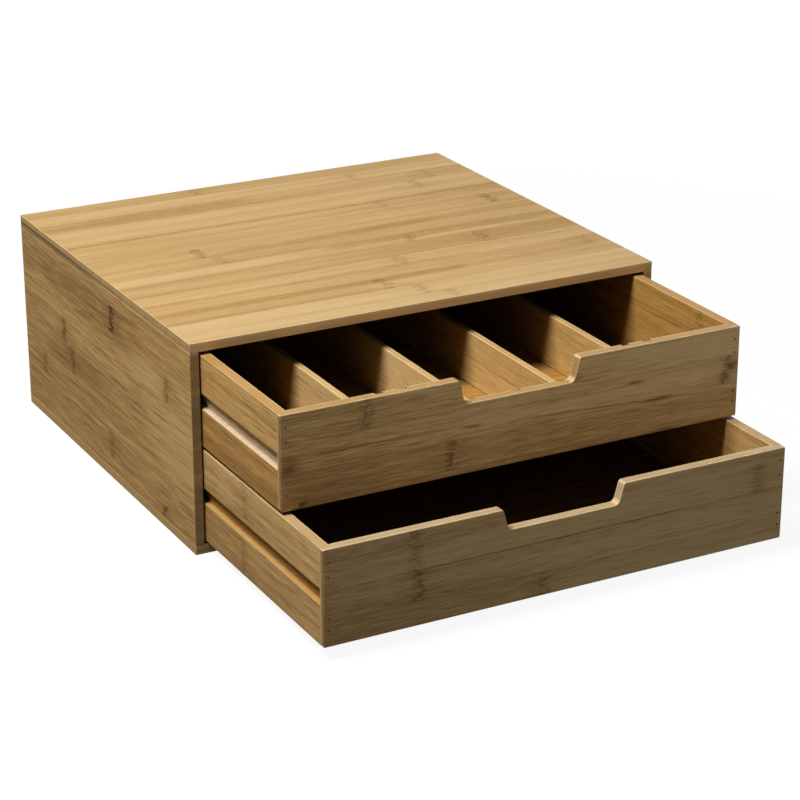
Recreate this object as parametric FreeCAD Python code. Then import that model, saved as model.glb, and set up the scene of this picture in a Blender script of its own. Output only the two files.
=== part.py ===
import FreeCAD, Part
import math
import os

# A bamboo coffee capsule cabinet with two inset drawers, at rest with both drawers partly open.
# Millimetres, +X to the right, the front faces -Y, +Z up.
# The origin is the centre of the cabinet's underside.

# Cabinet shell
cabinet_width = 320.0
cabinet_depth = 282.0
top_thickness = 6.0
bottom_thickness = 6.0
side_thickness = 6.0
back_thickness = 4.0
back_rebate = 3.0            # how far the back panel reaches into each board round it
back_fit_gap = 0.1           # play round the back panel's edges
shell_edge_radius = 0.5      # eased edges of the cabinet boards

# Drawer boards, the same in both drawers
front_thickness = 6.5
front_edge_radius = 0.5      # eased edges of a drawer front's face
front_corner_margin = 0.4    # how much rounder the corners of its outline are
board_edge_radius = 0.4      # eased long edges of the other drawer boards, runners and dividers
drawer_side_thickness = 6.5
drawer_back_thickness = 6.5
side_lap = 2.5               # depth of the rebate in the front that takes a side board's end
floor_thickness = 3.0
floor_lift = 3.5             # from the drawer's underside to the floor panel's underside
floor_groove_depth = 3.0     # how deep the floor panel's groove is cut in each board
floor_edge_gap = 0.2         # play at the floor panel's edges

# Drawers in the cabinet
upper_drawer_height = 58.0
lower_drawer_height = 59.0
drawer_gap = 2.0             # below, between and above the drawers
drawer_side_gap = 1.0        # on each side of a drawer
drawer_stop_gap = 1.0        # between a closed drawer and the cabinet's back panel
upper_drawer_pull = 106.5    # how far each drawer stands open at rest
lower_drawer_pull = 157.5

# Finger notches in the drawer fronts
notch_top_width = 80.0
notch_bottom_width = 73.0
upper_notch_depth = 15.0
lower_notch_depth = 13.0
notch_bottom_radius = 4.0
notch_top_radius = 2.0

# Runners and the grooves that they fill
groove_height = 10.0
groove_depth = 4.2
runner_top_gap = 0.3         # the groove's roof rides this far above the runner
runner_bottom_gap = 0.7
runner_tip_gap = 0.5         # between the runner and the bottom of the groove
runner_setback = 12.0        # from the cabinet's front edge to the runner's front end
runner_end_gap = 1.0         # between the runner and the cabinet's back panel

# Dividers of the upper drawer, and their slots
lane_count = 5               # lanes made by the dividers that are in place
wide_lane_count = 4          # lanes made when the dividers stand in the other slots
divider_thickness = 4.5
divider_height = 33.5
divider_floor_gap = 0.3
divider_face_gap = 0.3       # between a divider's faces and its slot
divider_end_gap = 0.3        # between a divider's end and the bottom of its slot
slot_depth = 2.5

# Brads
brad_shank_diameter = 1.0
brad_head_diameter = 1.3
brad_head_thickness = 0.5
brad_point_length = 1.5
brad_point_diameter = 0.3
brad_sink = 0.8              # how far a brad's head lies below the surface
drawer_brad_length = 18.0
back_brad_length = 14.0
runner_brad_length = 8.0
drawer_brad_bottom_margin = 9.5
drawer_brad_top_margin = 8.0
drawer_brad_groove_margin = 7.5  # from the runner groove to the brads above and below it
back_brad_end_margin = 20.0
back_brad_count = 3          # along each edge of the cabinet's back panel
runner_brad_end_margin = 25.0
runner_brad_count = 3        # along each runner

# Cuts that leave a board run this far past its faces
cut_overrun = 1.0

# Places that follow from the sizes
across = FreeCAD.Vector(1, 0, 0)
rearwards = FreeCAD.Vector(0, 1, 0)
cabinet_front_y = -cabinet_depth / 2
cabinet_back_y = cabinet_depth / 2
back_inner_y = cabinet_back_y - back_thickness
inner_right_x = cabinet_width / 2 - side_thickness
lower_drawer_z = bottom_thickness + drawer_gap
upper_drawer_z = lower_drawer_z + lower_drawer_height + drawer_gap
top_under_z = upper_drawer_z + upper_drawer_height + drawer_gap
drawer_width = 2 * (inner_right_x - drawer_side_gap)
drawer_length = back_inner_y - cabinet_front_y - drawer_stop_gap
drawer_inner_width = drawer_width - 2 * drawer_side_thickness
side_end_depth = front_thickness - side_lap
slot_width = divider_thickness + 2 * divider_face_gap
runner_reach = drawer_side_gap + groove_depth - runner_tip_gap
runner_height = groove_height - runner_top_gap - runner_bottom_gap
runner_front_y = cabinet_front_y + runner_setback
runner_back_y = back_inner_y - runner_end_gap


class Drawer:
    """The place and the sizes of one drawer, worked out for its rest position."""

    def __init__(self, name, under_z, height, pull, notch_depth, slot_centres):
        self.name = name
        self.under_z = under_z
        self.top_z = under_z + height
        self.notch_z = self.top_z - notch_depth
        self.slot_centres = slot_centres
        self.front_y = cabinet_front_y - pull
        self.side_front_y = self.front_y + side_end_depth
        self.inner_front_y = self.front_y + front_thickness
        self.back_y = self.front_y + drawer_length
        self.inner_back_y = self.back_y - drawer_back_thickness
        self.floor_z = under_z + floor_lift
        self.floor_top_z = self.floor_z + floor_thickness
        self.groove_z = under_z + (height - groove_height) / 2
        self.groove_top_z = self.groove_z + groove_height
        self.runner_top_z = self.groove_top_z - runner_top_gap


def lane_lines(lanes):
    """Middle lines of the dividers that part a drawer into this many equal lanes."""
    pitch = (drawer_inner_width + divider_thickness) / lanes
    return [(i - lanes / 2) * pitch for i in range(1, lanes)]


divider_centres = lane_lines(lane_count)
slot_centres = divider_centres + lane_lines(wide_lane_count)
upper = Drawer("upper_drawer", upper_drawer_z, upper_drawer_height, upper_drawer_pull,
               upper_notch_depth, slot_centres)
lower = Drawer("lower_drawer", lower_drawer_z, lower_drawer_height, lower_drawer_pull,
               lower_notch_depth, [])


def block(x0, x1, y0, y1, z0, z1):
    """A plain box between two corners. The two X and the two Y values may be in any order."""
    corner = FreeCAD.Vector(min(x0, x1), min(y0, y1), z0)
    return Part.makeBox(abs(x1 - x0), abs(y1 - y0), z1 - z0, corner)


def eased_board(x0, x1, y0, y1, z0, z1):
    """A cabinet board, with all its edges eased."""
    shape = block(x0, x1, y0, y1, z0, z1)
    return shape.makeFillet(shell_edge_radius, shape.Edges)


def square_ended_board(x0, x1, y0, y1, z0, z1, grain):
    """A drawer board or strip with square ends, and its long edges, along the grain, eased."""
    shape = block(x0, x1, y0, y1, z0, z1)
    long_edges = [e for e in shape.Edges if e.tangentAt(0).cross(grain).Length < 0.5]
    return shape.makeFillet(board_edge_radius, long_edges)


# Brads

def brad(point, inward, length, top_gap):
    """A brad driven inwards from a point on a surface. top_gap is the air over its head."""
    head_top = point + inward * top_gap
    shank_top = point + inward * (brad_sink + brad_head_thickness)
    shank_length = length - brad_head_thickness - brad_point_length
    tip = shank_top + inward * shank_length
    head_length = brad_sink + brad_head_thickness - top_gap
    shape = Part.makeCylinder(brad_head_diameter / 2, head_length, head_top, inward)
    shank = Part.makeCylinder(brad_shank_diameter / 2, shank_length, shank_top, inward)
    cone = Part.makeCone(brad_shank_diameter / 2, brad_point_diameter / 2,
                         brad_point_length, tip, inward)
    return shape.fuse(shank).fuse(cone).removeSplitter()


def brads(places, length):
    """A group of brads, one solid for each place, with the heads below the surface."""
    return Part.makeCompound([brad(p, d, length, brad_sink) for p, d in places])


def brad_holes(places, length):
    """The holes that the same brads leave, open to the surface."""
    return Part.makeCompound([brad(p, d, length, 0) for p, d in places])


def spread(low, high, margin, count):
    """Places along an edge, evenly spaced between two end margins."""
    step = (high - low - 2 * margin) / (count - 1)
    return [low + margin + i * step for i in range(count)]


def back_brad_places():
    """Round the cabinet's back panel, into the middle of each rebate's shoulder."""
    side_x = inner_right_x + back_rebate / 2
    low_z = bottom_thickness - back_rebate / 2
    high_z = top_under_z + back_rebate / 2
    across_x = spread(-inner_right_x, inner_right_x, back_brad_end_margin, back_brad_count)
    up_z = spread(bottom_thickness, top_under_z, back_brad_end_margin, back_brad_count)
    spots = [(x, z) for x in (-side_x, side_x) for z in up_z]
    spots += [(x, z) for x in across_x for z in (low_z, high_z)]
    return [(FreeCAD.Vector(x, cabinet_back_y, z), -rearwards) for x, z in spots]


def runner_brad_places(drawer, hand):
    """Along one runner, driven outwards into the cabinet side. hand is -1 left, +1 right."""
    tip_x = hand * (inner_right_x - runner_reach)
    middle_z = drawer.runner_top_z - runner_height / 2
    along_y = spread(runner_front_y, runner_back_y, runner_brad_end_margin, runner_brad_count)
    return [(FreeCAD.Vector(tip_x, y, middle_z), across * hand) for y in along_y]


def front_brad_places(drawer):
    """Through the drawer front into the ends of both sides, two above and two below the groove."""
    heights = (drawer.under_z + drawer_brad_bottom_margin,
               drawer.groove_z - drawer_brad_groove_margin,
               drawer.groove_top_z + drawer_brad_groove_margin,
               drawer.top_z - drawer_brad_top_margin)
    side_middle_x = (drawer_width - drawer_side_thickness) / 2
    return [(FreeCAD.Vector(hand * side_middle_x, drawer.front_y, z), rearwards)
            for hand in (-1, 1) for z in heights]


def rear_brad_places(drawer):
    """Through both drawer sides into the ends of the back board."""
    heights = (drawer.under_z + drawer_brad_bottom_margin,
               drawer.top_z - drawer_brad_top_margin)
    back_middle_y = drawer.back_y - drawer_back_thickness / 2
    return [(FreeCAD.Vector(hand * drawer_width / 2, back_middle_y, z), across * -hand)
            for hand in (-1, 1) for z in heights]


# Cabinet

def back_panel_space(gap):
    """The place of the cabinet's back panel, smaller all round by a gap."""
    reach = back_rebate - gap
    return block(-inner_right_x - reach, inner_right_x + reach, back_inner_y, cabinet_back_y,
                 bottom_thickness - reach, top_under_z + reach)


def shell_board(x0, x1, z0, z1):
    """A board of the cabinet, front to back, let out for the back panel and its brads."""
    shape = eased_board(x0, x1, cabinet_front_y, cabinet_back_y, z0, z1)
    shape = shape.cut(back_panel_space(0))
    return shape.cut(brad_holes(back_brad_places(), back_brad_length))


def cabinet_top():
    return shell_board(-cabinet_width / 2, cabinet_width / 2,
                       top_under_z, top_under_z + top_thickness)


def cabinet_bottom():
    return shell_board(-cabinet_width / 2, cabinet_width / 2, 0, bottom_thickness)


def cabinet_side(hand):
    shape = shell_board(hand * inner_right_x, hand * cabinet_width / 2,
                        bottom_thickness, top_under_z)
    for drawer in (upper, lower):
        shape = shape.cut(brad_holes(runner_brad_places(drawer, hand), runner_brad_length))
    return shape


def cabinet_back():
    panel = back_panel_space(back_fit_gap)
    return panel.cut(brad_holes(back_brad_places(), back_brad_length))


def runner(drawer, hand):
    shape = square_ended_board(hand * (inner_right_x - runner_reach), hand * inner_right_x,
                               runner_front_y, runner_back_y,
                               drawer.runner_top_z - runner_height, drawer.runner_top_z,
                               rearwards)
    return shape.cut(brad_holes(runner_brad_places(drawer, hand), runner_brad_length))


def runner_brads():
    places = []
    for drawer in (upper, lower):
        for hand in (-1, 1):
            places += runner_brad_places(drawer, hand)
    return brads(places, runner_brad_length)


# Drawers

def corner_arc(before, corner, after, radius):
    """The start, the middle and the end of an arc that rounds a corner of an outline."""
    to_before = (before - corner).normalize()
    to_after = (after - corner).normalize()
    half_angle = to_before.getAngle(to_after) / 2
    middle_way = (to_before + to_after).normalize()
    setback = radius / math.tan(half_angle)
    centre = corner + middle_way * (radius / math.sin(half_angle))
    return corner + to_before * setback, centre - middle_way * radius, corner + to_after * setback


def rounded_outline(corners):
    """A closed wire through (point, radius) corners, each rounded by its radius."""
    arcs = []
    for i, (corner, radius) in enumerate(corners):
        before = corners[i - 1][0]
        after = corners[(i + 1) % len(corners)][0]
        arcs.append(corner_arc(before, corner, after, radius))
    edges = []
    for i, (start, middle, end) in enumerate(arcs):
        edges.append(Part.LineSegment(arcs[i - 1][2], start).toShape())
        edges.append(Part.Arc(start, middle, end).toShape())
    return Part.Wire(edges)


def rim_edges(shape, y):
    """The edges of a shape that lie wholly in one upright plane across the drawer."""
    return [e for e in shape.Edges
            if abs(e.BoundBox.YMin - y) < 1e-6 and abs(e.BoundBox.YMax - y) < 1e-6]


def front_blank(drawer):
    """The drawer front with its finger notch and eased edges, before any joint is cut."""
    corner_radius = front_edge_radius + front_corner_margin
    right_half = [(drawer_width / 2, drawer.under_z, corner_radius),
                  (drawer_width / 2, drawer.top_z, corner_radius),
                  (notch_top_width / 2, drawer.top_z, notch_top_radius),
                  (notch_bottom_width / 2, drawer.notch_z, notch_bottom_radius)]
    left_half = [(-x, z, radius) for x, z, radius in reversed(right_half)]
    corners = [(FreeCAD.Vector(x, drawer.front_y, z), radius)
               for x, z, radius in right_half + left_half]
    shape = Part.Face(rounded_outline(corners)).extrude(rearwards * front_thickness)
    shape = shape.makeFillet(front_edge_radius, rim_edges(shape, drawer.front_y))
    return shape.makeFillet(board_edge_radius, rim_edges(shape, drawer.inner_front_y))


def floor_space(drawer, gap):
    """The place of the floor panel in its grooves, smaller at its edges by a gap."""
    reach = floor_groove_depth - gap
    half_width = drawer_inner_width / 2 + reach
    return block(-half_width, half_width,
                 drawer.inner_front_y - reach, drawer.inner_back_y + reach,
                 drawer.floor_z, drawer.floor_top_z)


def cut_slots(shape, drawer, face_y, outward):
    """Upright divider slots in a board's inner face, from the floor to past the board's top."""
    for x in drawer.slot_centres:
        shape = shape.cut(block(x - slot_width / 2, x + slot_width / 2,
                                face_y, face_y + outward * slot_depth,
                                drawer.floor_top_z, drawer.top_z + cut_overrun))
    return shape


def drawer_front(drawer):
    shape = front_blank(drawer)
    for hand in (-1, 1):
        shape = shape.cut(block(hand * drawer_inner_width / 2,
                                hand * (drawer_width / 2 + cut_overrun),
                                drawer.side_front_y, drawer.inner_front_y + cut_overrun,
                                drawer.under_z - cut_overrun, drawer.top_z + cut_overrun))
    shape = shape.cut(floor_space(drawer, 0))
    shape = cut_slots(shape, drawer, drawer.inner_front_y, -1)
    return shape.cut(brad_holes(front_brad_places(drawer), drawer_brad_length))


def drawer_side(drawer, hand):
    outer_x = hand * drawer_width / 2
    shape = square_ended_board(outer_x, hand * drawer_inner_width / 2,
                               drawer.side_front_y, drawer.back_y,
                               drawer.under_z, drawer.top_z, rearwards)
    shape = shape.cut(block(outer_x - hand * groove_depth, outer_x + hand * cut_overrun,
                            drawer.side_front_y - cut_overrun, drawer.back_y + cut_overrun,
                            drawer.groove_z, drawer.groove_top_z))
    shape = shape.cut(floor_space(drawer, 0))
    shape = shape.cut(brad_holes(front_brad_places(drawer), drawer_brad_length))
    return shape.cut(brad_holes(rear_brad_places(drawer), drawer_brad_length))


def drawer_back(drawer):
    shape = square_ended_board(-drawer_inner_width / 2, drawer_inner_width / 2,
                               drawer.inner_back_y, drawer.back_y,
                               drawer.under_z, drawer.top_z, across)
    shape = shape.cut(floor_space(drawer, 0))
    shape = cut_slots(shape, drawer, drawer.inner_back_y, 1)
    return shape.cut(brad_holes(rear_brad_places(drawer), drawer_brad_length))


def divider(centre_x):
    reach = slot_depth - divider_end_gap
    low_z = upper.floor_top_z + divider_floor_gap
    return square_ended_board(centre_x - divider_thickness / 2, centre_x + divider_thickness / 2,
                              upper.inner_front_y - reach, upper.inner_back_y + reach,
                              low_z, low_z + divider_height, rearwards)


# Output

def write(name, shape):
    """One file for each piece, after a look that it is sound."""
    if not shape.isValid():
        raise ValueError(name + " is not a sound shape")
    print(name, len(shape.Solids), round(shape.Volume, 1))
    shape.exportStep("parts/" + name + ".step")


def write_cabinet():
    write("cabinet_top", cabinet_top())
    write("cabinet_bottom", cabinet_bottom())
    write("cabinet_back", cabinet_back())
    write("cabinet_back_brads", brads(back_brad_places(), back_brad_length))
    write("runner_brads", runner_brads())
    for side, hand in (("left", -1), ("right", 1)):
        write("cabinet_" + side + "_side", cabinet_side(hand))
        write("upper_" + side + "_runner", runner(upper, hand))
        write("lower_" + side + "_runner", runner(lower, hand))


def write_drawer(drawer):
    write(drawer.name + "_front", drawer_front(drawer))
    write(drawer.name + "_left_side", drawer_side(drawer, -1))
    write(drawer.name + "_right_side", drawer_side(drawer, 1))
    write(drawer.name + "_back", drawer_back(drawer))
    write(drawer.name + "_floor", floor_space(drawer, floor_edge_gap))
    write(drawer.name + "_front_brads", brads(front_brad_places(drawer), drawer_brad_length))
    write(drawer.name + "_rear_brads", brads(rear_brad_places(drawer), drawer_brad_length))


os.makedirs("parts", exist_ok=True)
write_cabinet()
write_drawer(upper)
write_drawer(lower)
for number, centre_x in enumerate(divider_centres, 1):
    write("divider_" + str(number), divider(centre_x))
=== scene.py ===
import random

import bpy
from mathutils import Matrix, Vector

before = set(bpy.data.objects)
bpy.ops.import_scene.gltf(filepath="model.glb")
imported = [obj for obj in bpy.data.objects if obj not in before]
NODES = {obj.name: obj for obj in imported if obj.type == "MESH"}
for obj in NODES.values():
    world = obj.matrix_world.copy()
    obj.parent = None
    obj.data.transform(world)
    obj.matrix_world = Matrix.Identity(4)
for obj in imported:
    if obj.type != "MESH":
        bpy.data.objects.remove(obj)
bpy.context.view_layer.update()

# The frame has X to the right, the drawers opening towards -Y, Z up, and its origin under the middle of the
# cabinet. Blender works in metres. The materials measure in millimetres from the same origin.
MM_PER_METRE = 1000.0

X, Y, Z = 0, 1, 2


# Sizes of the part in mm, at rest. Those of the dividers, runners and floor panels are rounded up.

CABINET_LEFT = -160.0
CABINET_REAR = 141.0
CABINET_TOP = 135.0
CABINET_WIDTH = 320.0
CABINET_DEPTH = 282.0
DRAWER_LEFT = -153.0
DRAWER_WIDTH = 306.0
DRAWER_LENGTH = 277.0
UPPER_DRAWER_REAR = 30.0
UPPER_DRAWER_TOP = 127.0
UPPER_DRAWER_HEIGHT = 58.0
LOWER_DRAWER_REAR = -21.0
LOWER_DRAWER_TOP = 67.0
LOWER_DRAWER_HEIGHT = 59.0
FLOOR_LEFT = -150.0
FLOOR_WIDTH = 300.0
DIVIDER_TOP = 110.0
DIVIDER_HEIGHT = 34.0
DIVIDER_LENGTH = 270.0
HALF_DIVIDER = 2.25
RUNNER_REAR = 136.0
RUNNER_HEIGHT = 10.0
RUNNER_LENGTH = 265.0

# Distances from the middle plane: where the divider slots end, and the sides of the finger notches.
SLOTS_END = (139.0, 140.0)
NOTCH_SIDES = (34.0, 42.0)

# The runner grooves' raw wood in the drawer sides, as distances from the middle plane: it begins over the
# first pair and ends over the second.
GROOVE_BOTTOM = (148.65, 148.75)
GROOVE_MOUTH = (152.75, 152.95)


# Colours

def linear(red, green, blue):
    """A colour from 0 to 255, as the shader wants it."""
    def one(value):
        share = value / 255.0
        if share <= 0.04045:
            return share / 12.92
        return ((share + 0.055) / 1.055) ** 2.4

    return (one(red), one(green), one(blue), 1.0)


# Each wood is a pale, a middle and a brown colour.
TOP_WOOD = (linear(213, 182, 130), linear(199, 163, 108), linear(176, 138, 80))
SIDE_WOOD = (linear(216, 178, 113), linear(193, 151, 85), linear(155, 113, 52))
UPPER_WOOD = (linear(244, 210, 153), linear(222, 185, 126), linear(184, 143, 89))
LOWER_WOOD = (linear(215, 186, 137), linear(197, 165, 114), linear(166, 133, 88))
UPPER_SIDE_WOOD = (linear(226, 184, 116), linear(205, 159, 88), linear(174, 125, 60))
LOWER_SIDE_WOOD = (linear(230, 195, 136), linear(212, 171, 108), linear(182, 139, 80))
PALE_DIVIDER_WOOD = (linear(244, 210, 150), linear(228, 188, 126), linear(194, 150, 90))
GOLDEN_DIVIDER_WOOD = (linear(240, 200, 136), linear(224, 178, 110), linear(188, 140, 74))
FLOOR_WOOD = (linear(196, 150, 80), linear(180, 130, 60), linear(150, 102, 44))

# The knuckles' dark brown, which also darkens lines and glue, and paints shade into joints.
KNUCKLE_AND_SHADE_BROWN = linear(88, 58, 25)
KNUCKLE_PALE = linear(226, 194, 140)
END_GRAIN = linear(160, 124, 72)
SIDE_END = linear(200, 176, 132)
PALE_END = linear(204, 166, 106)
BOTTOM_END = linear(194, 155, 92)
CUT_FIBRE = linear(112, 78, 42)
EDGE = linear(175, 138, 87)
TOP_EDGE = linear(222, 180, 118)
BOTTOM_EDGE = linear(222, 190, 140)
PALE_EDGE = linear(202, 176, 138)
DIVIDER_EDGE = linear(212, 176, 120)
SIDE_EDGE = linear(190, 148, 92)
LOWER_SIDE_EDGE = linear(194, 161, 118)
# Pale wood from sanding, also used for painted highlights along arrises and edges.
ARRIS = linear(246, 218, 168)
RAW = linear(228, 204, 172)
WARM_RAW = linear(196, 150, 84)
SLOT_SHADE = linear(92, 62, 28)
STEEL_DARK = linear(70, 62, 54)
STEEL_PALE = linear(104, 96, 88)
WHITE = (1.0, 1.0, 1.0, 1.0)


# Node trees

class Tree:
    """One material's node tree, with a short call for each kind of node that is used here."""

    def __init__(self, name):
        self.material = bpy.data.materials.new(name)
        self.material.use_nodes = True
        self.nodes = self.material.node_tree.nodes
        self.links = self.material.node_tree.links
        self.shader = self.nodes["Principled BSDF"]
        coordinates = self.nodes.new("ShaderNodeTexCoord")
        self.place = coordinates.outputs["Object"]
        self.normal = coordinates.outputs["Normal"]

    def put(self, socket, value):
        """Links an output to a socket, or writes a constant on it."""
        if isinstance(value, bpy.types.NodeSocket):
            self.links.new(value, socket)
        else:
            socket.default_value = value

    def math(self, operation, *values, clamp=False):
        node = self.nodes.new("ShaderNodeMath")
        node.operation = operation
        node.use_clamp = clamp
        for socket, value in zip(node.inputs, values):
            self.put(socket, value)
        return node.outputs[0]

    def vector_math(self, operation, *values):
        node = self.nodes.new("ShaderNodeVectorMath")
        node.operation = operation
        for socket, value in zip(node.inputs, values):
            self.put(socket, value)
        return node.outputs[0]

    def length(self, vector):
        node = self.nodes.new("ShaderNodeVectorMath")
        node.operation = "LENGTH"
        self.put(node.inputs[0], vector)
        return node.outputs["Value"]

    def split(self, vector):
        node = self.nodes.new("ShaderNodeSeparateXYZ")
        self.put(node.inputs[0], vector)
        return node.outputs

    def join(self, x, y, z):
        node = self.nodes.new("ShaderNodeCombineXYZ")
        for socket, value in zip(node.inputs, (x, y, z)):
            self.put(socket, value)
        return node.outputs[0]

    def rise(self, value, reach, low=0.0, high=1.0):
        """A smooth step from low to high, as value goes from the start to the end of reach."""
        node = self.nodes.new("ShaderNodeMapRange")
        node.interpolation_type = "SMOOTHSTEP"
        for socket, given in zip(node.inputs, (value, *reach, low, high)):
            self.put(socket, given)
        return node.outputs[0]

    def fall(self, value, reach, high=1.0):
        """A smooth step from high down to 0."""
        return self.rise(value, reach, high, 0.0)

    def within(self, value, reach, soft):
        """1 inside reach and 0 outside it, with soft ends."""
        start, end = reach
        up = self.rise(value, (start - soft, start + soft))
        down = self.fall(value, (end - soft, end + soft))
        return self.math("MULTIPLY", up, down)

    def distance(self, value, place):
        return self.math("ABSOLUTE", self.math("SUBTRACT", value, place))

    def swing(self, noise, strength, base):
        """Base, moved up or down as the noise leaves its middle."""
        return self.math("MULTIPLY_ADD", self.math("SUBTRACT", noise, 0.5), strength, base)

    def along(self, axis, corner=0.0, sign=1.0):
        """Millimetres from a corner along one axis."""
        metres = self.split(self.place)[axis]
        return self.math("MULTIPLY_ADD", metres, sign * MM_PER_METRE, -sign * corner)

    def noise(self, vector, detail=2.0, roughness=0.5):
        node = self.nodes.new("ShaderNodeTexNoise")
        self.put(node.inputs["Vector"], vector)
        node.inputs["Scale"].default_value = 1.0
        node.inputs["Detail"].default_value = detail
        node.inputs["Roughness"].default_value = roughness
        return node.outputs["Fac"]

    def sized(self, first, second, size, third):
        """Coordinates for a noise that has the given size in mm along the first two of them."""
        first_size, second_size = size
        first = self.math("DIVIDE", first, first_size)
        second = self.math("DIVIDE", second, second_size)
        return self.join(first, second, third)

    def dots(self, vector):
        """The distance to the nearest of many scattered points."""
        node = self.nodes.new("ShaderNodeTexVoronoi")
        self.put(node.inputs["Vector"], vector)
        node.inputs["Scale"].default_value = 1.0
        return node.outputs["Distance"]

    def mix(self, share, first, second):
        node = self.nodes.new("ShaderNodeMix")
        node.data_type = "RGBA"
        self.put(node.inputs["Factor"], share)
        self.put(node.inputs[6], first)
        self.put(node.inputs[7], second)
        return node.outputs[2]

    def finish(self, colour, roughness, height, depth_mm, specular):
        """Gives the shader its colour, roughness and bump, and returns the material."""
        self.put(self.shader.inputs["Base Color"], colour)
        self.put(self.shader.inputs["Roughness"], roughness)
        self.shader.inputs["Specular IOR Level"].default_value = specular
        bump = self.nodes.new("ShaderNodeBump")
        bump.inputs["Strength"].default_value = 1.0
        bump.inputs["Distance"].default_value = depth_mm / MM_PER_METRE
        self.put(bump.inputs["Height"], height)
        self.links.new(bump.outputs["Normal"], self.shader.inputs["Normal"])
        return self.material


# Bamboo

class Board:
    """How one board's bamboo lies and looks.

    u runs along the grain, in mm from the board's left or rear end. v runs across it, in mm from the
    board's rear or top edge. corner holds the places where u and v are 0. w is the place through the
    board's thickness, in mm in the part's frame. A strip is (v where it ends, tone from 0 pale to 1 brown,
    u of its knuckle, strength of its knuckle).
    """

    # The faces: how strong each kind of figure is, and the bands' width and the fibres' length in mm.
    wood = SIDE_WOOD
    bands = 1.6
    band_width = 6.0
    streaks = 0.7
    fibres = 1.2
    fibre_length = 16.0
    hairs = 0.7
    knuckle_pale = 0.5

    # Darker places: (u start, u end, v start, v end, softness, darkening), and paler where it is below 0.
    patches = ()

    # Dark lines along the grain, some of them painted shade in a joint: (u start, u end, v at the start, v
    # at the end, width, strength).
    lines = ()

    # The long edges' colour, and pale lines along them: (w, strength). Those at an arris are painted
    # highlight; those elsewhere are paler plies.
    edge = EDGE
    rims = ()

    # How pale the arrises are where they look up, and where they don't. They are pale from sanding, and the
    # extra paleness where they look up is painted highlight.
    arris = 0.6
    side_arris = 0.3

    # The ends' colour, how much their cut fibres darken it, and the w of a painted highlight line in them.
    end_wood = END_GRAIN
    end_shade = 0.3
    end_highlight_w = None

    # Painted shade of the joint beneath the board, as a dark line in its ends: (w, width, v where it is
    # strong, v where it is faint).
    end_joint_shade = None

    # Only faces across the grain that lie further than this from the middle plane are ends.
    ends_beyond = None

    # The runner groove: (lowest z, highest z, colour of its raw wood, how much painted shade browns its flat
    # wall).
    groove = None

    # The divider slots, whose insides get painted shade: (w at their bottom, w at their mouth).
    slots = None

    def __init__(self, grain, across, corner, strips, seed, **look):
        self.grain = grain
        self.across = across
        self.through = X + Y + Z - grain - across
        self.corner = corner
        self.strips = strips
        self.seed = seed
        for name, value in look.items():
            if not hasattr(Board, name):
                raise ValueError(f"a board has no {name}")
            setattr(self, name, value)


def plain_strips(width, length, seed, strip_width=18.0, tone=0.45, spread=0.28, knuckles=(0.3, 0.5, 0.7)):
    """Random strips, for a board whose own can't be made out in the photograph.

    tone is their middle tone, and spread is how far they leave it. knuckles are the strengths to draw from.
    """
    draw = random.Random(seed)
    strips = []
    end = strip_width * draw.uniform(0.5, 1.0)
    while end < width + strip_width:
        strips.append((
            end,
            tone + draw.uniform(-spread, spread),
            draw.uniform(0.05, 0.95) * length,
            draw.choice(knuckles),
        ))
        end += strip_width * draw.uniform(0.92, 1.05)
    return strips


# Where the first strip starts, which is outside the board, so that no glue line shows there.
FIRST_STRIP_START = -20.0


def of_strip(tree, v, strips):
    """The tone, knuckle and knuckle strength of the strip that v is in, and its start, end and number."""
    _, tone, knuckle_u, strength = strips[0]
    kind = tree.join(tone, knuckle_u, strength)
    reach = tree.join(FIRST_STRIP_START, strips[0][0], 0.0)
    start = FIRST_STRIP_START
    for before, strip in zip(strips, strips[1:]):
        past = tree.math("GREATER_THAN", v, before[0])
        kind_step = [strip[i] - before[i] for i in (1, 2, 3)]
        reach_step = [before[0] - start, strip[0] - before[0], 1.0]
        kind = tree.vector_math("MULTIPLY_ADD", past, kind_step, kind)
        reach = tree.vector_math("MULTIPLY_ADD", past, reach_step, reach)
        start = before[0]
    return tree.split(kind), tree.split(reach)


# Sizes of the noises in mm, along the grain and across it.
BAND_LENGTH = 230.0
STREAK_SIZE = (90.0, 1.8)
FIBRE_WIDTH = 0.45
HAIR_WIDTH = 0.5
FIBRES_PER_HAIR = 1.5
FLECK_SIZE = (2.8, 1.9)
PLY_SIZE = (45.0, 1.3)
SAW_MARK_SIZE = (1.2, 9.0)
CUT_FIBRE_SIZE = (0.75, 0.75)
GLUE_PATCH_LENGTH = 40.0
LINE_SWAY_LENGTH = 9.0
KNUCKLE_WAVE_WIDTH = 5.0

# How much the small parts of the sharper noises weigh.
SHARP = 0.6

# Steps between the places that strips, boards and layers have in the noises, so that no two are alike.
STRIP_STEP = 37.7
BOARD_STEP = 11.3
HAIR_STEP = 5.5

# How far a knuckle and a dark line wander in mm, and how much of that the fibres near a knuckle follow.
KNUCKLE_SWAY = 12.0
LINE_SWAY = 1.6
KNUCKLE_PUSH = 0.3

# Distances from their middle, in mm, over which these fade.
KNUCKLE_CORE = (0.5, 6.5)
KNUCKLE_HALO = (3.0, 24.0)
KNUCKLE_PALE_REACH = (3.0, 11.0)
GLUE_REACH = (0.05, 0.5)
RIM_REACH = (0.5, 1.3)
END_RIM_REACH = (0.6, 2.4)

# The same for a cut fibre, as shares of its size.
CUT_FIBRE_REACH = (0.15, 0.45)

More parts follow.
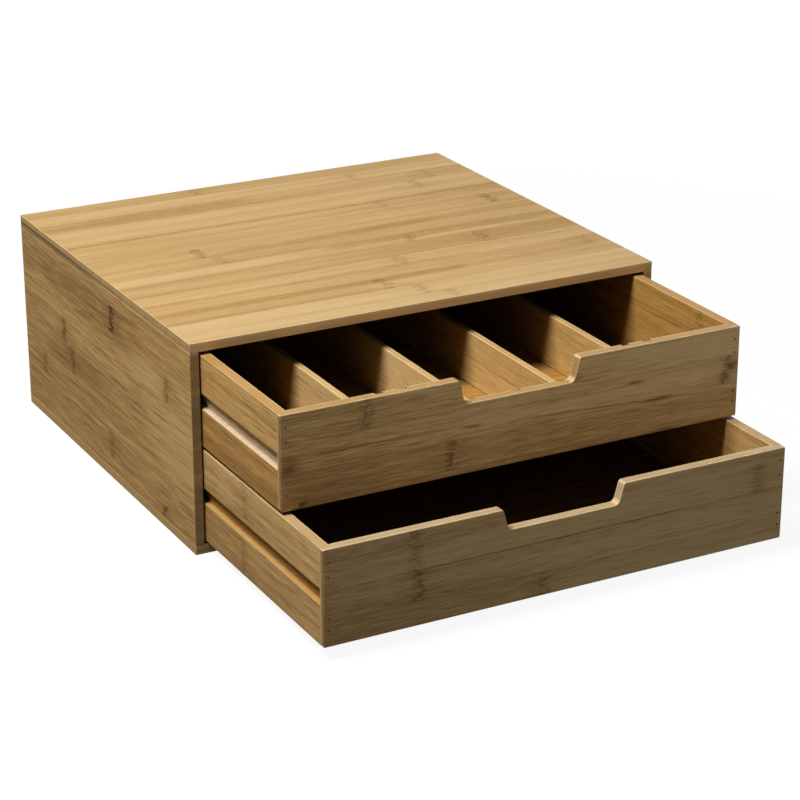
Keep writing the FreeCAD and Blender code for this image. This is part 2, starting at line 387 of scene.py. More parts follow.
# Where on its noise each of these begins to show, and where it shows fully, or the other way round.
HAIRS_SHOW = (0.52, 0.66)
HAIRY_BANDS_SHOW = (0.35, 0.60)
MOTTLE_SHOWS = (0.30, 0.66)
LINE_SHOWS = (0.3, 0.6)
GLUE_SHOWS = (0.42, 0.62)
PALE_FLECKS_SHOW = (0.36, 0.48)
DARK_FLECKS_SHOW = (0.38, 0.62)
PLIES_SHOW = (0.40, 0.66)
SAW_MARKS_SHOW = (0.3, 0.75)

# How strong these are where they begin to show, and where they show fully.
HAIRY_BANDS_RANGE = (0.6, 1.0)
MOTTLE_RANGE = (0.6, 1.3)
LINE_RANGE = (0.35, 1.0)
DARK_FLECKS_RANGE = (0.22, 1.0)

# How strong the painted joint shade in the ends is where it is strong, and where it is faint.
END_JOINT_SHADE_RANGE = (0.85, 0.15)

# How square to an axis a surface stands when it begins to count as facing that way, and counts fully.
FACING = (0.80, 0.95)
FLAT = (0.88, 0.98)
LOOKING_UP = (0.15, 0.5)
SLOT_LOOKING_UP = (0.4, 0.7)
GROOVE_WALL = (0.5, 0.9)

# How much softer a patch is along the grain than across it, and how much of a line fades at each end.
PATCH_END_SOFTNESS = 5.0
LINE_END_SHARE = 0.18

# Which share of its width a line is full in.
LINE_CORE = 0.2
END_JOINT_SHADE_CORE = 0.4

# Softness in mm at the limits of the grooves, slots and ends, and at the finger notch. The last is how far a
# groove's raw wood reaches past its edges.
CRISP = 0.1
NOTCH_SOFTNESS = 0.3
GROOVE_MARGIN = 0.15

# Strengths, from 0 to 1, of what lies over the plain wood, its edges and its ends.
SMUDGE_DARKENING = 0.28
GLUE_STRENGTH = 0.35
EDGE_STRENGTH = 0.85
PLY_STRENGTH = 0.45
CUT_FIBRE_STRENGTH = 0.6
END_RIM_STRENGTH = 0.45
END_BANDS = 0.8
SLOT_SHADE_STRENGTH = 0.8
SAW_MARK_STRENGTH = 0.4

# The surface's roughness, and what each of these adds to it.
LACQUER_ROUGHNESS = 0.44
STREAK_ROUGHNESS = 0.2
KNUCKLE_ROUGHNESS = 0.15
RAW_ROUGHNESS = 0.35
WOOD_SPECULAR = 0.08

# The relief: its whole depth in mm, and how high or deep its parts are as shares of that.
GRAIN_DEPTH_MM = 0.06
FIBRE_HEIGHT = 0.6
STREAK_HEIGHT = 0.4
GLUE_DEPTH = 0.3
FLECK_DEPTH = 0.5


class Grain:
    """The coordinates, strips and noises that all layers of one board's material share."""

    def __init__(self, tree, board):
        self.u = tree.along(board.grain, board.corner[0], 1.0 if board.grain == X else -1.0)
        self.v = tree.along(board.across, board.corner[1], -1.0)
        self.w = tree.along(board.through)
        kind, reach = of_strip(tree, self.v, board.strips)
        self.tone, knuckle_u, self.knuckle_strength = kind
        self.strip_start, self.strip_end, self.number = reach
        self.shift = tree.math("MULTIPLY_ADD", self.number, STRIP_STEP, board.seed * BOARD_STEP)

        # A knuckle is a mottled bar across the strip, dark in places, with a smudge round it.
        wave = tree.noise(tree.join(self.shift, tree.math("DIVIDE", self.v, KNUCKLE_WAVE_WIDTH), 0.0))
        bent = tree.math("MULTIPLY_ADD", wave, KNUCKLE_SWAY, -0.5 * KNUCKLE_SWAY)
        off = tree.math("ADD", tree.math("SUBTRACT", self.u, knuckle_u), bent)
        self.from_knuckle = tree.math("ABSOLUTE", off)
        self.knuckle = tree.math(
            "MULTIPLY", tree.fall(self.from_knuckle, KNUCKLE_CORE), self.knuckle_strength)
        self.smudge = tree.math(
            "MULTIPLY", tree.fall(self.from_knuckle, KNUCKLE_HALO), self.knuckle_strength)
        self.flecks = tree.noise(tree.sized(self.u, self.v, FLECK_SIZE, self.shift), roughness=SHARP)

        # The fibres bend aside at a knuckle.
        pushed = tree.math("MULTIPLY_ADD", tree.math("MULTIPLY", self.smudge, bent), KNUCKLE_PUSH, self.v)
        band_size = (BAND_LENGTH, board.band_width)
        fibre_size = (board.fibre_length, FIBRE_WIDTH)
        hair_size = (FIBRES_PER_HAIR * board.fibre_length, HAIR_WIDTH)
        hair_shift = tree.math("ADD", self.shift, HAIR_STEP)
        self.broad = tree.noise(tree.sized(self.u, pushed, band_size, self.shift))
        self.coarse = tree.noise(
            tree.sized(self.u, pushed, STREAK_SIZE, self.shift), detail=3.0, roughness=SHARP)
        self.fine = tree.noise(tree.sized(self.u, pushed, fibre_size, self.shift), roughness=SHARP)
        hair = tree.noise(tree.sized(self.u, pushed, hair_size, hair_shift), detail=1.0)
        hairy = tree.rise(self.broad, HAIRY_BANDS_SHOW, *HAIRY_BANDS_RANGE)
        self.hair = tree.math("MULTIPLY", tree.rise(hair, HAIRS_SHOW), hairy)

        # How nearly a surface faces along each axis.
        self.facing = tree.split(tree.vector_math("ABSOLUTE", tree.normal))


def level_of(tree, board, grain):
    """How brown the wood is: 0 is pale, 0.5 middle, 1 brown, and more is darker still."""
    level = tree.swing(grain.broad, board.bands, grain.tone)
    level = tree.swing(grain.coarse, board.streaks, level)
    level = tree.swing(grain.fine, board.fibres, level)
    level = tree.math("MULTIPLY_ADD", grain.hair, board.hairs, level)
    level = tree.math("MULTIPLY_ADD", grain.smudge, SMUDGE_DARKENING, level)
    mottle = tree.rise(grain.fine, MOTTLE_SHOWS, *MOTTLE_RANGE)
    for u_start, u_end, v_start, v_end, soft, amount in board.patches:
        over_u = tree.within(grain.u, (u_start, u_end), PATCH_END_SOFTNESS * soft)
        over_v = tree.within(grain.v, (v_start, v_end), soft)
        over = tree.math("MULTIPLY", tree.math("MULTIPLY", over_u, over_v), mottle)
        level = tree.math("MULTIPLY_ADD", over, amount, level)
    return level


def wood_colour(tree, board, level):
    """The wood's colour at each level. Beyond brown it turns towards the knuckles' colour."""
    pale, middle, brown = board.wood
    colour = tree.mix(tree.math("MULTIPLY", level, 2.0, clamp=True), pale, middle)
    colour = tree.mix(tree.math("MULTIPLY_ADD", level, 2.0, -1.0, clamp=True), colour, brown)
    return tree.mix(tree.math("MULTIPLY_ADD", level, 0.6, -0.6, clamp=True), colour, KNUCKLE_AND_SHADE_BROWN)


def with_lines(tree, board, grain, colour):
    """Adds the dark lines along the grain, and the painted joint shade that is drawn the same way."""
    for u_start, u_end, v_start, v_end, width, strength in board.lines:
        slope = (v_end - v_start) / (u_end - u_start)
        path = tree.math("MULTIPLY_ADD", grain.u, slope, v_start - slope * u_start)
        sway = tree.noise(tree.join(tree.math("DIVIDE", grain.u, LINE_SWAY_LENGTH), v_start, 0.0))
        path = tree.math("ADD", path, tree.math("MULTIPLY_ADD", sway, LINE_SWAY, -0.5 * LINE_SWAY))
        line = tree.fall(tree.distance(grain.v, path), (LINE_CORE * width, width))
        over_u = tree.within(grain.u, (u_start, u_end), LINE_END_SHARE * (u_end - u_start))
        line = tree.math("MULTIPLY", line, over_u)
        line = tree.math("MULTIPLY", line, tree.rise(grain.coarse, LINE_SHOWS, *LINE_RANGE))
        colour = tree.mix(tree.math("MULTIPLY", line, strength), colour, KNUCKLE_AND_SHADE_BROWN)
    return colour


def glue_between_strips(tree, grain):
    """The dark glue line between two strips, which shows here and there."""
    from_start = tree.math("SUBTRACT", grain.v, grain.strip_start)
    to_end = tree.math("SUBTRACT", grain.strip_end, grain.v)
    seam = tree.math("MINIMUM", from_start, to_end)
    patchy = tree.noise(
        tree.join(tree.math("DIVIDE", grain.u, GLUE_PATCH_LENGTH), grain.number, grain.shift))
    return tree.math("MULTIPLY", tree.fall(seam, GLUE_REACH), tree.rise(patchy, GLUE_SHOWS))


def edge_colour_of(tree, board, grain):
    """The long edges, which are paler than the faces and show the plies, with painted highlights along their
    arrises.
    """
    ply = tree.noise(tree.sized(grain.u, grain.w, PLY_SIZE, grain.shift))
    _, _, brown = board.wood
    colour = tree.mix(tree.rise(ply, PLIES_SHOW, 0.0, PLY_STRENGTH), board.edge, brown)
    # Pale lines through the board: painted highlights at the arrises, paler plies elsewhere.
    for rim_w, strength in board.rims:
        colour = tree.mix(tree.fall(tree.distance(grain.w, rim_w), RIM_REACH, strength), colour, ARRIS)
    return colour


def end_colour_of(tree, board, grain, edge_colour):
    """The ends, which show cut fibres as dark dots, with painted joint shade and a painted highlight line
    where a board has them.
    """
    spot = tree.dots(tree.sized(grain.v, grain.w, CUT_FIBRE_SIZE, grain.shift))
    colour = tree.mix(tree.fall(spot, CUT_FIBRE_REACH, CUT_FIBRE_STRENGTH), board.end_wood, CUT_FIBRE)
    shade = tree.math(
        "MULTIPLY_ADD", grain.broad, END_BANDS, board.end_shade - 0.5 * END_BANDS, clamp=True)
    colour = tree.mix(shade, colour, CUT_FIBRE)
    # Painted shade in the joint beneath the board, strong at one end and faint towards the other.
    if board.end_joint_shade:
        line_w, width, v_strong, v_faint = board.end_joint_shade
        line = tree.fall(tree.distance(grain.w, line_w), (END_JOINT_SHADE_CORE * width, width))
        line = tree.math("MULTIPLY", line, tree.rise(grain.v, (v_strong, v_faint), *END_JOINT_SHADE_RANGE))
        colour = tree.mix(line, colour, KNUCKLE_AND_SHADE_BROWN)
    # A painted highlight line along the ends.
    if board.end_highlight_w:
        rim = tree.fall(tree.distance(grain.w, board.end_highlight_w), END_RIM_REACH, END_RIM_STRENGTH)
        colour = tree.mix(rim, colour, ARRIS)
    if board.ends_beyond:
        # Nearer the middle, a face across the grain is the side of a milled slot or notch, which is pale.
        outside = tree.math("ABSOLUTE", tree.along(X))
        beyond = tree.rise(outside, (board.ends_beyond - CRISP, board.ends_beyond))
        colour = tree.mix(beyond, edge_colour, colour)
    return colour


def with_slots(tree, board, grain, colour):
    """Paints shade into the insides of the divider slots. The finger notch, which is as deep, is left out.
    """
    side = tree.math("ABSOLUTE", tree.along(X))
    looking_along = tree.fall(grain.facing[Z], SLOT_LOOKING_UP)
    slot_shade_mask = tree.math("MULTIPLY", tree.within(grain.w, board.slots, CRISP), looking_along)
    slot_shade_mask = tree.math("MULTIPLY", slot_shade_mask, tree.fall(side, SLOTS_END))
    notch = tree.within(side, NOTCH_SIDES, NOTCH_SOFTNESS)
    slot_shade_mask = tree.math("MULTIPLY", slot_shade_mask, tree.math("SUBTRACT", 1.0, notch))
    return tree.mix(tree.math("MULTIPLY", slot_shade_mask, SLOT_SHADE_STRENGTH), colour, SLOT_SHADE)


def with_groove(tree, board, grain, colour, roughness):
    """Makes the runner groove raw, as it is sawn after lacquering."""
    low_z, high_z, raw_colour, wall_shade = board.groove
    _, middle, brown = board.wood
    side = tree.math("ABSOLUTE", tree.along(X))
    inside = tree.math("MULTIPLY", tree.rise(side, GROOVE_BOTTOM), tree.fall(side, GROOVE_MOUTH))
    heights = (low_z - GROOVE_MARGIN, high_z + GROOVE_MARGIN)
    inside = tree.math("MULTIPLY", inside, tree.within(tree.along(Z), heights, CRISP))
    saw = tree.noise(tree.sized(grain.u, grain.v, SAW_MARK_SIZE, grain.shift))
    raw = tree.mix(tree.rise(saw, SAW_MARKS_SHOW, 0.0, SAW_MARK_STRENGTH), raw_colour, middle)
    # Painted shade: the groove's flat wall is browned, while its ledge keeps the raw colour.
    raw = tree.mix(tree.rise(grain.facing[X], GROOVE_WALL, 0.0, wall_shade), raw, brown)
    roughness = tree.math("MULTIPLY_ADD", inside, RAW_ROUGHNESS, roughness)
    return tree.mix(inside, colour, raw), roughness


def bamboo_material(name, board):
    tree = Tree(name)
    grain = Grain(tree, board)
    colour = wood_colour(tree, board, level_of(tree, board, grain))
    colour = with_lines(tree, board, grain, colour)
    glue = glue_between_strips(tree, grain)
    colour = tree.mix(tree.math("MULTIPLY", glue, GLUE_STRENGTH), colour, KNUCKLE_AND_SHADE_BROWN)

    # The knuckles' pale and dark flecks.
    near = tree.fall(grain.from_knuckle, KNUCKLE_PALE_REACH, board.knuckle_pale)
    pale_flecks = tree.math("MULTIPLY", near, tree.fall(grain.flecks, PALE_FLECKS_SHOW))
    pale_flecks = tree.math("MULTIPLY", pale_flecks, grain.knuckle_strength, clamp=True)
    colour = tree.mix(pale_flecks, colour, KNUCKLE_PALE)
    dark_flecks = tree.rise(grain.flecks, DARK_FLECKS_SHOW, *DARK_FLECKS_RANGE)
    dark_flecks = tree.math("MULTIPLY", grain.knuckle, dark_flecks, clamp=True)
    colour = tree.mix(dark_flecks, colour, KNUCKLE_AND_SHADE_BROWN)

    # Edges, ends, and the arrises, which face no axis squarely. The arrises are pale from sanding, with
    # painted highlight where they look up.
    edge_colour = edge_colour_of(tree, board, grain)
    colour = tree.mix(tree.rise(grain.facing[board.across], FACING, 0.0, EDGE_STRENGTH), colour, edge_colour)
    end_colour = end_colour_of(tree, board, grain, edge_colour)
    colour = tree.mix(tree.rise(grain.facing[board.grain], FACING), colour, end_colour)
    squarest = tree.math("MAXIMUM", tree.math("MAXIMUM", grain.facing[X], grain.facing[Y]), grain.facing[Z])
    sanded_and_highlit = tree.rise(grain.facing[Z], LOOKING_UP, board.side_arris, board.arris)
    colour = tree.mix(tree.math("MULTIPLY", tree.fall(squarest, FLAT), sanded_and_highlit), colour, ARRIS)
    if board.slots:
        colour = with_slots(tree, board, grain, colour)

    height = tree.math("MULTIPLY", grain.coarse, STREAK_HEIGHT)
    height = tree.math("MULTIPLY_ADD", grain.fine, FIBRE_HEIGHT, height)
    height = tree.math("SUBTRACT", height, tree.math("MULTIPLY", glue, GLUE_DEPTH))
    height = tree.math("SUBTRACT", height, tree.math("MULTIPLY", dark_flecks, FLECK_DEPTH))
    roughness = tree.math("MULTIPLY_ADD", grain.coarse, STREAK_ROUGHNESS, LACQUER_ROUGHNESS)
    roughness = tree.math("MULTIPLY_ADD", grain.knuckle, KNUCKLE_ROUGHNESS, roughness)
    if board.groove:
        colour, roughness = with_groove(tree, board, grain, colour, roughness)
    return tree.finish(colour, roughness, height, GRAIN_DEPTH_MM, WOOD_SPECULAR)


# The cabinet's boards

CABINET_TOP_CORNER = (CABINET_LEFT, CABINET_REAR)
CABINET_SIDE_CORNER = (CABINET_REAR, CABINET_TOP)

TOP_STRIPS = [
    (16, 0.60, 124, 0.3), (33, 0.34, 237, 0.2), (52, 0.60, 287, 0.2), (70, 0.40, 269, 0.3),
    (86, 0.44, 340, 0.0), (105, 0.52, 225, 0.2), (123, 0.60, 296, 0.5), (142, 0.62, 72, 0.5),
    (159, 0.58, 80, 0.2), (174, 0.50, 207, 0.35), (196, 0.76, 252, 0.35), (214, 0.42, 180, 0.3),
    (231, 0.55, 307, 0.3), (250, 0.74, 150, 0.4), (268, 0.26, 166, 0.3), (284, 0.30, 179, 0.3),
]
TOP_PATCHES = [
    (-80, 400, 83, 87, 1.2, 0.40),
    (-60, 150, 34, 46, 3.0, 0.30),
    (-60, 230, 210, 215, 1.0, 0.40),
    (90, 240, 132, 142, 3.0, 0.35),
    (-60, 120, 160, 171, 2.0, -0.30),
    (150, 380, 158, 168, 2.0, 0.30),
    (-60, 210, 229, 236, 1.5, 0.40),
    (140, 380, 238, 250, 3.0, -0.35),
    (255, 500, 80, 400, 12.0, 0.18),
]
TOP = Board(
    X, Y, CABINET_TOP_CORNER, TOP_STRIPS, seed=1, wood=TOP_WOOD, patches=TOP_PATCHES,
    bands=1.0, band_width=9.0, streaks=0.35, fibres=0.8, hairs=0.2, knuckle_pale=0.8,
    edge=TOP_EDGE, rims=((134.2, 0.4), (132.8, 0.2), (129.0, 0.25)), arris=0.5, side_arris=0.2,
    end_wood=PALE_END, end_shade=0.15, end_joint_shade=(129.6, 2.6, 60.0, 230.0),
)

LEFT_STRIPS = [
    (15, 0.50, 400, 0.0), (33, 0.55, 160, 1.6), (50, 0.42, 245, 0.6), (67, 0.45, 74, 0.85),
    (85, 0.48, 88, 0.8), (102, 0.48, 34, 0.6), (120, 0.52, 151, 0.6), (140, 0.58, 236, 0.8),
]
# Painted shade along the joint under the cabinet top, as a dark line over the side's rear half.
LEFT_JOINT_SHADE = [
    (-60, 150, 6.2, 6.2, 1.3, 1.0),
]
LEFT_PATCHES = [
    (50, 150, 68, 84, 4.0, 0.35),
    (195, 236, 34, 49, 4.0, -0.40),
    (-60, 130, 16, 32, 3.0, 0.30),
    (120, 200, 12, 34, 6.0, 0.20),
    (-60, 60, 90, 135, 8.0, 0.10),
    (230, 340, 52, 96, 9.0, -0.25),
    (220, 400, -10, 98, 12.0, -0.16),
    (-30, 24, 129, 140, 0.6, 1.40),
]
LEFT = Board(
    Y, Z, CABINET_SIDE_CORNER, LEFT_STRIPS, seed=2, lines=LEFT_JOINT_SHADE, patches=LEFT_PATCHES,
    bands=0.9, streaks=0.3, fibres=2.7, hairs=0.9, fibre_length=24.0, knuckle_pale=0.15,
    arris=0.3, side_arris=0.1, end_wood=SIDE_END,
)
RIGHT = Board(
    Y, Z, CABINET_SIDE_CORNER, plain_strips(CABINET_TOP, CABINET_DEPTH, 3), seed=3,
    end_wood=PALE_END, end_shade=0.1,
)
BOTTOM = Board(
    X, Y, CABINET_TOP_CORNER, plain_strips(CABINET_DEPTH, CABINET_WIDTH, 4), seed=4,
    edge=BOTTOM_EDGE, arris=0.2, side_arris=0.0, end_wood=BOTTOM_END, end_shade=0.0,
)
BACK_PANEL = Board(
    X, Z, (CABINET_LEFT, CABINET_TOP),
    plain_strips(CABINET_TOP, CABINET_WIDTH, 5, strip_width=60.0, tone=0.3), seed=5,
)


# The drawers' fronts and backs

UPPER_FRONT_CORNER = (DRAWER_LEFT, UPPER_DRAWER_TOP)
LOWER_FRONT_CORNER = (DRAWER_LEFT, LOWER_DRAWER_TOP)

UPPER_FRONT_STRIPS = [
    (18, 0.40, 53, 0.5), (36, 0.45, 298, 0.7), (54, 0.68, 108, 0.6), (70, 0.85, 13, 0.8),
]
UPPER_FRONT_LINES = [
    (20, 105, 27, 28, 1.1, 0.5),
    (150, 290, 31, 39, 1.0, 0.45),
]
UPPER_FRONT_PATCHES = [
    (-60, 60, -10, 70, 12.0, 0.35),
    (230, 400, -10, 70, 12.0, -0.25),
    (120, 400, 36, 80, 10.0, 0.18),
    (1, 9, 26, 36, 1.2, 0.70),
    (2, 8, 31, 35, 0.7, 0.90),
    (116, 126, 28.5, 30.5, 0.8, 0.80),
    (228, 236, 22, 24, 0.8, 0.70),
    (240, 256, 35, 37.5, 1.2, 0.55),
    (186, 194, 10, 15, 1.2, 0.60),
    (250, 262, 56, 59, 1.0, 0.80),
    (299, 310, 22, 29, 2.0, 0.70),
]
FRONT_LOOK = dict(
    bands=0.7, streaks=0.2, fibres=1.6, hairs=0.45, knuckle_pale=0.4,
    arris=0.5, side_arris=0.0, end_shade=0.15, ends_beyond=150.0,
)
UPPER_FRONT = Board(
    X, Z, UPPER_FRONT_CORNER, UPPER_FRONT_STRIPS, seed=6, wood=UPPER_WOOD,
    lines=UPPER_FRONT_LINES, patches=UPPER_FRONT_PATCHES,
    rims=((-241.0, 0.45), (-247.5, 0.1)), end_highlight_w=-243.5, slots=(-243.4, -241.3), **FRONT_LOOK,
)

LOWER_FRONT_STRIPS = [
    (25, 0.45, 57, 0.45), (44, 0.50, 59, 0.60), (70, 0.62, 140, 0.45),
]
LOWER_FRONT_LINES = [
    (60, 240, 25, 25, 0.9, 0.5),
]
LOWER_FRONT_PATCHES = [
    (-60, 16, -10, 70, 10.0, 0.25),
    (-60, 130, 34, 80, 8.0, 0.12),
    (150, 400, -10, 70, 12.0, -0.14),
    (284, 291, 7, 26, 1.2, 0.55),
    (-40, 110, 2, 9, 2.0, 0.15),
]
LOWER_FRONT = Board(
    X, Z, LOWER_FRONT_CORNER, LOWER_FRONT_STRIPS, seed=7, wood=LOWER_WOOD,
    lines=LOWER_FRONT_LINES, patches=LOWER_FRONT_PATCHES,
    edge=PALE_EDGE, rims=((-292.0, 0.6), (-298.5, 0.4)), end_highlight_w=-294.5, **FRONT_LOOK,
)

UPPER_BACK = Board(
    X, Z, UPPER_FRONT_CORNER, plain_strips(UPPER_DRAWER_HEIGHT, DRAWER_WIDTH, 8), seed=8,
    slots=(23.3, 25.4),
)
LOWER_BACK = Board(
    X, Z, LOWER_FRONT_CORNER, plain_strips(LOWER_DRAWER_HEIGHT, DRAWER_WIDTH, 9), seed=9,
)


# The drawers' sides and floors

UPPER_SIDE_CORNER = (UPPER_DRAWER_REAR, UPPER_DRAWER_TOP)
LOWER_SIDE_CORNER = (LOWER_DRAWER_REAR, LOWER_DRAWER_TOP)
UPPER_LEFT_STRIPS = [(14, 0.30, 90, 0.6), (34, 0.45, 30, 0.5), (60, 0.80, 130, 0.6)]
LOWER_LEFT_STRIPS = [(26, 0.43, 176, 0.35), (36, 0.6, 30, 0.3), (60, 0.75, 174, 0.35)]
UPPER_SIDE_LOOK = dict(
    wood=UPPER_SIDE_WOOD, edge=SIDE_EDGE, rims=((-146.5, 0.4), (146.5, 0.3)),
    arris=0.35, streaks=0.4, groove=(93.0, 103.0, RAW, 0.1),
)
LOWER_SIDE_LOOK = dict(
    wood=LOWER_SIDE_WOOD, edge=LOWER_SIDE_EDGE, rims=((-146.5, 0.3), (146.5, 0.3)),
    arris=0.35, streaks=0.4, groove=(32.5, 42.5, WARM_RAW, 0.6),
)

# What shows of the right-hand sides is their inner face, which is calm.
CALM_STRIPS = dict(spread=0.18, knuckles=(0.2, 0.3))
CALM_GRAIN = dict(bands=1.0, fibres=1.5, hairs=0.4)
UPPER_LEFT = Board(
    Y, Z, UPPER_SIDE_CORNER, UPPER_LEFT_STRIPS, seed=10, fibres=1.7, hairs=1.0, **UPPER_SIDE_LOOK,
)
LOWER_LEFT = Board(
    Y, Z, LOWER_SIDE_CORNER, LOWER_LEFT_STRIPS, seed=12, fibres=1.6, hairs=0.8, **LOWER_SIDE_LOOK,
)
UPPER_RIGHT = Board(
    Y, Z, UPPER_SIDE_CORNER,
    plain_strips(UPPER_DRAWER_HEIGHT, DRAWER_LENGTH, 11, tone=0.57, **CALM_STRIPS),
    seed=11, **CALM_GRAIN, **UPPER_SIDE_LOOK,
)
LOWER_RIGHT = Board(
    Y, Z, LOWER_SIDE_CORNER,
    plain_strips(LOWER_DRAWER_HEIGHT, DRAWER_LENGTH, 13, **CALM_STRIPS),
    seed=13, **CALM_GRAIN, **LOWER_SIDE_LOOK,
)


def floor_board(rear, seed):
    """A drawer's floor panel, of wide veneers with faint knuckles."""
    strips = plain_strips(DRAWER_LENGTH, FLOOR_WIDTH, seed, strip_width=60.0, knuckles=(0.0, 0.1, 0.2))
    return Board(X, Y, (FLOOR_LEFT, rear), strips, seed=seed, wood=FLOOR_WOOD)


BOARDS = {
    "cabinet_top": TOP,
    "cabinet_bottom": BOTTOM,
    "cabinet_back": BACK_PANEL,
    "cabinet_left_side": LEFT,
    "cabinet_right_side": RIGHT,
    "upper_drawer_front": UPPER_FRONT,
    "upper_drawer_left_side": UPPER_LEFT,
    "upper_drawer_right_side": UPPER_RIGHT,
    "upper_drawer_back": UPPER_BACK,
    "upper_drawer_floor": floor_board(UPPER_DRAWER_REAR, 14),
    "lower_drawer_front": LOWER_FRONT,
    "lower_drawer_left_side": LOWER_LEFT,
    "lower_drawer_right_side": LOWER_RIGHT,
    "lower_drawer_back": LOWER_BACK,
    "lower_drawer_floor": floor_board(LOWER_DRAWER_REAR, 15),
}


# The dividers and the runners

# Each divider's number, its place to the right of the middle plane in mm, its middle tone and its wood.
DIVIDERS = (
    (1, -89.25, 0.38, PALE_DIVIDER_WOOD),
    (2, -29.75, 0.42, PALE_DIVIDER_WOOD),
    (3, 29.75, 0.32, GOLDEN_DIVIDER_WOOD),
    (4, 89.25, 0.47, GOLDEN_DIVIDER_WOOD),
)
for number, centre, tone, wood in DIVIDERS:
    seed = 20 + number
    strips = plain_strips(DIVIDER_HEIGHT, DIVIDER_LENGTH, seed, tone=tone, spread=0.14, knuckles=(0.1, 0.2))
    BOARDS[f"divider_{number}"] = Board(
        Y, Z, (UPPER_DRAWER_REAR, DIVIDER_TOP), strips, seed=seed, wood=wood,
        bands=0.6, streaks=0.3, fibres=1.3, hairs=0.5, knuckle_pale=0.2,
        edge=DIVIDER_EDGE, rims=((centre - HALF_DIVIDER, 0.3), (centre + HALF_DIVIDER, 0.3)),
    )

RUNNER_TOPS = {"upper": 102.7, "lower": 42.2}
RUNNER_SEEDS = {"left": 30, "right": 31}
for level, top in RUNNER_TOPS.items():
    for side, seed in RUNNER_SEEDS.items():
        strips = plain_strips(RUNNER_HEIGHT, RUNNER_LENGTH, seed, strip_width=12.0)
        BOARDS[f"{level}_{side}_runner"] = Board(Y, Z, (RUNNER_REAR, top), strips, seed=seed)


# Dressing the CAD nodes

# The brads' steel, and the speckles on it.
SPECKLES_PER_METRE = 4000.0
STEEL_METALLIC = 0.8
STEEL_ROUGHNESS = 0.35
SPECKLE_ROUGHNESS = 0.3
STEEL_SPECULAR = 0.5
SPECKLE_DEPTH_MM = 0.02


def steel_material(name):
    """Dull wire for the brads."""
    tree = Tree(name)
    spot = tree.vector_math("MULTIPLY", tree.place, (SPECKLES_PER_METRE,) * 3)
    speckle = tree.noise(spot, detail=3.0)
    colour = tree.mix(speckle, STEEL_DARK, STEEL_PALE)
    roughness = tree.math("MULTIPLY_ADD", speckle, SPECKLE_ROUGHNESS, STEEL_ROUGHNESS)
    tree.shader.inputs["Metallic"].default_value = STEEL_METALLIC
    return tree.finish(colour, roughness, speckle, SPECKLE_DEPTH_MM, STEEL_SPECULAR)


def dress(node, material):
    """Gives a CAD node one material all over."""
    slots = NODES[node].data.materials
    for index in range(len(slots)):
        slots[index] = material


for node, board in BOARDS.items():
    dress(node, bamboo_material(f"bamboo_{node}", board))
steel = steel_material("brad_steel")
for node in NODES:
    if node.endswith("brads"):
        dress(node, steel)


# Floor and surround

FLOOR_REACH = 30.0
FLOOR_TINT = 0.10

# How strongly the floor shows white of itself, which is less near the object, so that its shadow stays.
GLOW_NEAR = 0.92
GLOW_FAR = 1.0
GLOW_RADII = (0.45, 1.1)

# How strongly the white surround lights the object.
AMBIENT = 0.03


def shown_rays(nodes, links):
    """1 for rays that look straight at a surface, or by way of gloss or glass, and 0 for the others."""
    path = nodes.new("ShaderNodeLightPath")
    total = path.outputs["Is Camera Ray"]
    for name in ("Is Glossy Ray", "Is Transmission Ray"):
        node = nodes.new("ShaderNodeMath")
        node.operation = "MAXIMUM"
        links.new(total, node.inputs[0])
        links.new(path.outputs[name], node.inputs[1])
        total = node.outputs[0]
    return total


def build_floor():
    """A pale floor that shows white where the light falls on it, and keeps the object's shadow."""
    mesh = bpy.data.meshes.new("floor")
    corners = [(x * FLOOR_REACH, y * FLOOR_REACH, 0.0) for x, y in ((-1, -1), (1, -1), (1, 1), (-1, 1))]
    mesh.from_pydata(corners, [], [(0, 1, 2, 3)])
    floor = bpy.data.objects.new("floor", mesh)
    bpy.context.scene.collection.objects.link(floor)
    tree = Tree("floor_paper")
    tree.shader.inputs["Base Color"].default_value = (FLOOR_TINT, FLOOR_TINT, FLOOR_TINT, 1.0)
    tree.shader.inputs["Roughness"].default_value = 1.0
    tree.shader.inputs["Specular IOR Level"].default_value = 0.0
    tree.shader.inputs["Emission Color"].default_value = WHITE
    glow = tree.rise(tree.length(tree.place), GLOW_RADII, GLOW_NEAR, GLOW_FAR)
    glow = tree.math("MULTIPLY", glow, shown_rays(tree.nodes, tree.links))
    tree.put(tree.shader.inputs["Emission Strength"], glow)
    mesh.materials.append(tree.material)


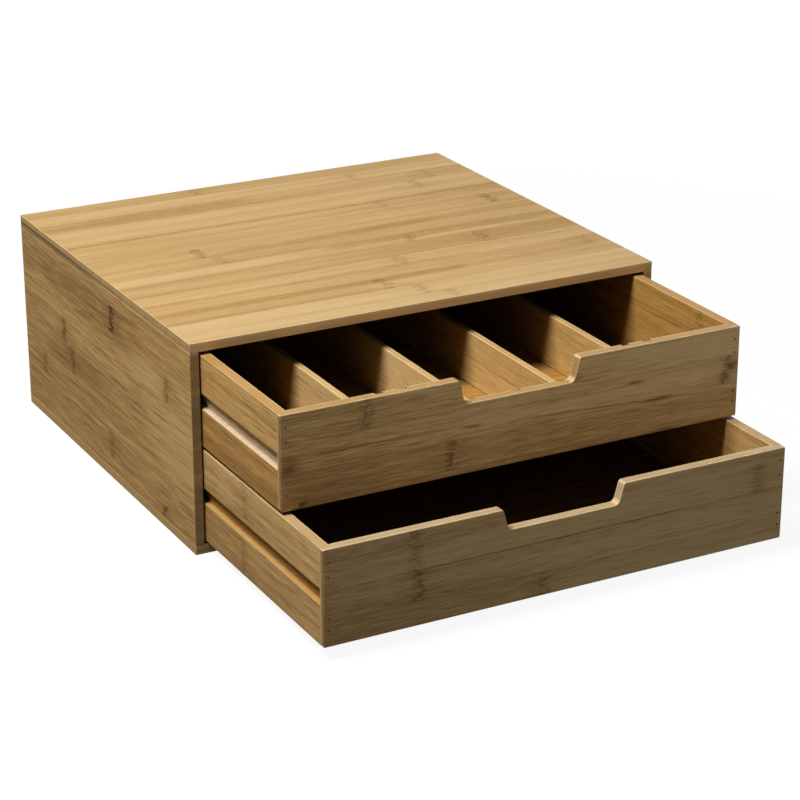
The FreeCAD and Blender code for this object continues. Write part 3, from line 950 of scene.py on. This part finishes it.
def build_world():
    """A plain white surround, seen as white, that lights the object only a little."""
    world = bpy.data.worlds.new("surround")
    bpy.context.scene.world = world
    world.use_nodes = True
    nodes = world.node_tree.nodes
    links = world.node_tree.links
    background = nodes["Background"]
    background.inputs["Color"].default_value = WHITE
    level = nodes.new("ShaderNodeMapRange")
    level.inputs["To Min"].default_value = AMBIENT
    level.inputs["To Max"].default_value = 1.0
    links.new(shown_rays(nodes, links), level.inputs["Value"])
    links.new(level.outputs[0], background.inputs["Strength"])


# Lamps and camera

# Each lamp's name, place, side length and power, in metres and watts.
LAMPS = (
    ("overhead_softbox", (-0.83, -0.20, 1.70), 0.6, 36.5),
    ("front_fill", (0.35, -2.6, 0.20), 0.3, 7.0),
    ("rear_fill", (1.7, 1.4, 0.30), 1.2, 7.0),
)
LAMP_AIM = (0.0, -0.05, 0.08)

CAMERA_PLACE = (-0.68857, -1.38859, 0.63818)
CAMERA_DIRECTION = (0.43796, 0.81920, -0.37026)
CAMERA_LENS = 111.98
SENSOR_WIDTH = 36.0
CLIP_START = 0.05
CLIP_END = 100.0


def build_lamp(name, place, size, power):
    """A square soft box that looks at the object."""
    data = bpy.data.lights.new(name, "AREA")
    data.shape = "SQUARE"
    data.size = size
    data.energy = power
    lamp = bpy.data.objects.new(name, data)
    bpy.context.scene.collection.objects.link(lamp)
    lamp.location = place
    lamp.rotation_mode = "QUATERNION"
    lamp.rotation_quaternion = (Vector(place) - Vector(LAMP_AIM)).to_track_quat("Z", "Y")


def build_camera():
    """The photograph's viewpoint, found from the cabinet's corners."""
    data = bpy.data.cameras.new("photo_camera")
    data.sensor_width = SENSOR_WIDTH
    data.lens = CAMERA_LENS
    data.clip_start = CLIP_START
    data.clip_end = CLIP_END
    camera = bpy.data.objects.new("photo_camera", data)
    bpy.context.scene.collection.objects.link(camera)
    camera.location = CAMERA_PLACE
    camera.rotation_mode = "QUATERNION"
    camera.rotation_quaternion = Vector(CAMERA_DIRECTION).to_track_quat("-Z", "Y")
    bpy.context.scene.camera = camera


build_floor()
build_world()
for lamp in LAMPS:
    build_lamp(*lamp)
build_camera()
bpy.context.scene.view_settings.view_transform = "Standard"
# One bounce between the boards keeps the drawers' insides as dark as the photograph has them.
bpy.context.scene.cycles.diffuse_bounces = 1
